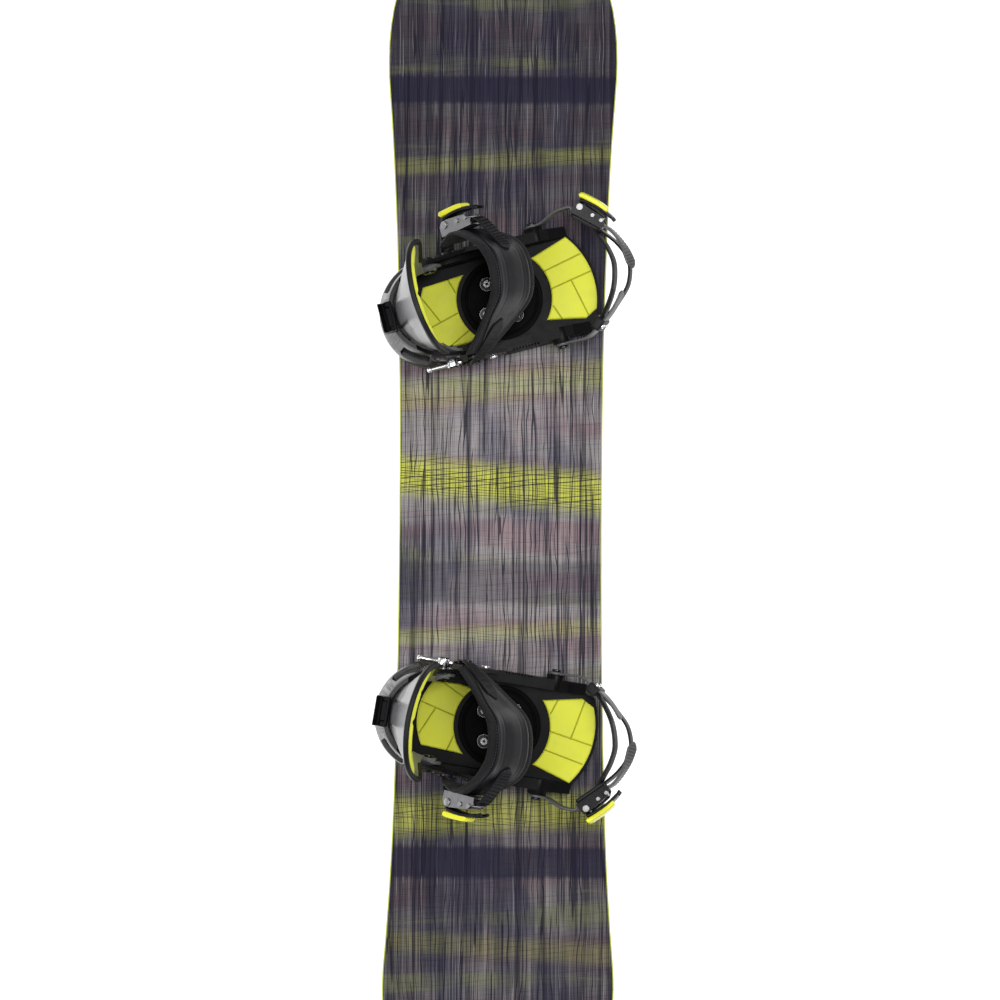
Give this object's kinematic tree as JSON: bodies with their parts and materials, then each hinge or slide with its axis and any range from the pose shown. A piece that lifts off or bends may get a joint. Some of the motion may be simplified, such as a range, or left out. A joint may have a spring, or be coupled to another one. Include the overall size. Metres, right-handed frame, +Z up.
{
  "type": "snowboard with bindings",
  "caption": "Wide all-mountain snowboard with a grey wood-grain topsheet and a pair of lime and grey two-strap bindings with ratchet buckles, highbacks and footbed pads",
  "frame": {"origin": "middle of the board on the underside of the running base", "axes": "+X towards the toe side, +Y towards the nose, +Z up from the snow"},
  "size_m": [0.3388, 1.63, 0.2585],
  "materials": {
    "topsheet_print": "satin printed sheet",
    "fibre_laminate": "resin and glass cloth",
    "core_wood": "sanded",
    "base_plastic": "ground and waxed",
    "edge_steel": "ground",
    "lime_sidewall": "milled",
    "black_nylon": "fine grain",
    "black_gloss": "satin gloss",
    "grey_shell": "satin",
    "lime_foam": "moulded foam",
    "strap_fabric": "stitched panels",
    "strap_plastic": "moulded",
    "toe_rubber": "moulded",
    "buckle_metal": "satin",
    "black_metal": "satin",
    "lime_metal": "gloss",
    "hardware": "bright",
    "polished_metal": "polished"
  },
  "bodies": {
    "board": {"topsheet": "topsheet_print", "upper_laminate": "fibre_laminate", "wood_core": "core_wood", "lower_laminate": "fibre_laminate", "running_base": "base_plastic", "steel_edge": "edge_steel", "sidewalls": "lime_sidewall", "tip_spacers": "lime_sidewall", "inserts": "edge_steel", "front_disc": "black_nylon", "front_disc_screws": "hardware", "rear_disc": "black_nylon", "rear_disc_screws": "hardware"},
    "front_binding": {"front_baseplate": "black_nylon", "front_heel_pad": "lime_foam", "front_toe_pad": "lime_foam", "front_heel_hoop": "black_gloss", "front_chassis_bolts": "hardware", "front_highback_pivots": "hardware"},
    "front_highback": {"front_highback": "grey_shell", "front_highback_pad": "lime_foam"},
    "front_lean_block": {"front_lean_block": "black_nylon"},
    "front_clamp_lever": {"front_clamp_lever": "polished_metal"},
    "front_ankle_strap": {"front_ankle_strap": "strap_fabric", "front_ankle_extender": "strap_plastic", "front_ankle_ladder": "strap_plastic", "front_ankle_buckle_frame": "buckle_metal", "front_ankle_buckle_pins": "hardware"},
    "front_ankle_lever": {"front_ankle_lever": "lime_metal"},
    "front_ankle_pawl": {"front_ankle_pawl": "black_nylon"},
    "front_toe_strap": {"front_toe_strap": "toe_rubber", "front_toe_ladder": "strap_plastic", "front_toe_buckle_frame": "black_metal", "front_toe_buckle_pins": "hardware"},
    "front_toe_lever": {"front_toe_lever": "lime_metal"},
    "front_toe_pawl": {"front_toe_pawl": "black_nylon"},
    "rear_binding": {"rear_baseplate": "black_nylon", "rear_heel_pad": "lime_foam", "rear_toe_pad": "lime_foam", "rear_heel_hoop": "black_gloss", "rear_chassis_bolts": "hardware", "rear_highback_pivots": "hardware"},
    "rear_highback": {"rear_highback": "grey_shell", "rear_highback_pad": "lime_foam"},
    "rear_lean_block": {"rear_lean_block": "black_nylon"},
    "rear_clamp_lever": {"rear_clamp_lever": "polished_metal"},
    "rear_ankle_strap": {"rear_ankle_strap": "strap_fabric", "rear_ankle_extender": "strap_plastic", "rear_ankle_ladder": "strap_plastic", "rear_ankle_buckle_frame": "buckle_metal", "rear_ankle_buckle_pins": "hardware"},
    "rear_ankle_lever": {"rear_ankle_lever": "lime_metal"},
    "rear_ankle_pawl": {"rear_ankle_pawl": "black_nylon"},
    "rear_toe_strap": {"rear_toe_strap": "toe_rubber", "rear_toe_ladder": "strap_plastic", "rear_toe_buckle_frame": "black_metal", "rear_toe_buckle_pins": "hardware"},
    "rear_toe_lever": {"rear_toe_lever": "lime_metal"},
    "rear_toe_pawl": {"rear_toe_pawl": "black_nylon"}
  },
  "joints": [
    {"name": "front_stance_swivel", "type": "hinge", "parent": "board", "child": "front_binding", "pos_m": [0, 0.288, 0.0185], "axis": [0, 0, 1], "range_deg": [-45, 15]},
    {"name": "front_highback_fold", "type": "hinge", "parent": "front_binding", "child": "front_highback", "pos_m": [-0.08114, 0.26626, 0.0685], "axis": [-0.2588, 0.9659, 0], "range_deg": [0, 34]},
    {"name": "front_lean_adjust", "type": "slide", "parent": "front_highback", "child": "front_lean_block", "axis": [0.175, 0.0469, 0.9835], "range_m": [0, 0.01]},
    {"name": "front_clamp_turn", "type": "hinge", "parent": "front_binding", "child": "front_clamp_lever", "pos_m": [-0.06245, 0.19652, 0.0685], "axis": [-0.2588, 0.9659, 0], "range_deg": [0, 80]},
    {"name": "front_ankle_swing", "type": "hinge", "parent": "front_binding", "child": "front_ankle_strap", "pos_m": [-0.05216, 0.27402, 0.0605], "axis": [-0.2588, 0.9659, 0], "range_deg": [-20, 15]},
    {"name": "front_ankle_lever_lift", "type": "hinge", "parent": "front_ankle_strap", "child": "front_ankle_lever", "pos_m": [-0.06648, 0.37496, 0.08466], "axis": [-0.6707, -0.1785, 0.7199], "range_deg": [0, 70], "stiffness_Nm_per_rad": 0.02},
    {"name": "front_ankle_pawl_lift", "type": "hinge", "parent": "front_ankle_strap", "child": "front_ankle_pawl", "pos_m": [-0.05007, 0.37775, 0.10064], "axis": [0.6707, 0.1785, -0.7199], "range_deg": [0, 12], "stiffness_Nm_per_rad": 0.02},
    {"name": "front_toe_swing", "type": "hinge", "parent": "front_binding", "child": "front_toe_strap", "pos_m": [0.05989, 0.30405, 0.0345], "axis": [-0.2588, 0.9659, 0], "range_deg": [-40, 4]},
    {"name": "front_toe_lever_lift", "type": "hinge", "parent": "front_toe_strap", "child": "front_toe_lever", "pos_m": [0.10153, 0.40214, 0.0735], "axis": [-0.1658, -0.242, 0.956], "range_deg": [0, 70], "stiffness_Nm_per_rad": 0.02},
    {"name": "front_toe_pawl_lift", "type": "hinge", "parent": "front_toe_strap", "child": "front_toe_pawl", "pos_m": [0.11815, 0.39132, 0.07364], "axis": [0.1658, 0.242, -0.956], "range_deg": [0, 12], "stiffness_Nm_per_rad": 0.02},
    {"name": "rear_stance_swivel", "type": "hinge", "parent": "board", "child": "rear_binding", "pos_m": [0, -0.272, 0.0185], "axis": [0, 0, 1], "range_deg": [-21, 39]},
    {"name": "rear_highback_fold", "type": "hinge", "parent": "rear_binding", "child": "rear_highback", "pos_m": [-0.08297, -0.25886, 0.0685], "axis": [0.1564, 0.9877, 0], "range_deg": [0, 34]},
    {"name": "rear_lean_adjust", "type": "slide", "parent": "rear_highback", "child": "rear_lean_block", "axis": [0.1789, -0.0283, 0.9835], "range_m": [0, 0.01]},
    {"name": "rear_clamp_turn", "type": "hinge", "parent": "rear_binding", "child": "rear_clamp_lever", "pos_m": [-0.07167, -0.18755, 0.0685], "axis": [0.1564, 0.9877, 0], "range_deg": [0, 80]},
    {"name": "rear_ankle_swing", "type": "hinge", "parent": "rear_binding", "child": "rear_ankle_strap", "pos_m": [-0.05334, -0.26355, 0.0605], "axis": [0.1564, 0.9877, 0], "range_deg": [-20, 15]},
    {"name": "rear_ankle_lever_lift", "type": "hinge", "parent": "rear_ankle_strap", "child": "rear_ankle_lever", "pos_m": [-0.05703, -0.36543, 0.08466], "axis": [0.6857, -0.1075, -0.7199], "range_deg": [0, 70], "stiffness_Nm_per_rad": 0.02},
    {"name": "rear_ankle_pawl_lift", "type": "hinge", "parent": "rear_ankle_strap", "child": "rear_ankle_pawl", "pos_m": [-0.04042, -0.36649, 0.10064], "axis": [-0.6857, 0.1075, 0.7199], "range_deg": [0, 12], "stiffness_Nm_per_rad": 0.02},
    {"name": "rear_toe_swing", "type": "hinge", "parent": "rear_binding", "child": "rear_toe_strap", "pos_m": [0.06124, -0.2817, 0.0345], "axis": [0.1564, 0.9877, 0], "range_deg": [-40, 4]},
    {"name": "rear_toe_lever_lift", "type": "hinge", "parent": "rear_toe_strap", "child": "rear_toe_lever", "pos_m": [0.1129, -0.3749, 0.0735], "axis": [0.1902, -0.2234, -0.956], "range_deg": [0, 70], "stiffness_Nm_per_rad": 0.02},
    {"name": "rear_toe_pawl_lift", "type": "hinge", "parent": "rear_toe_strap", "child": "rear_toe_pawl", "pos_m": [0.12831, -0.3624, 0.07364], "axis": [-0.1902, 0.2234, 0.956], "range_deg": [0, 12], "stiffness_Nm_per_rad": 0.02}
  ]
}
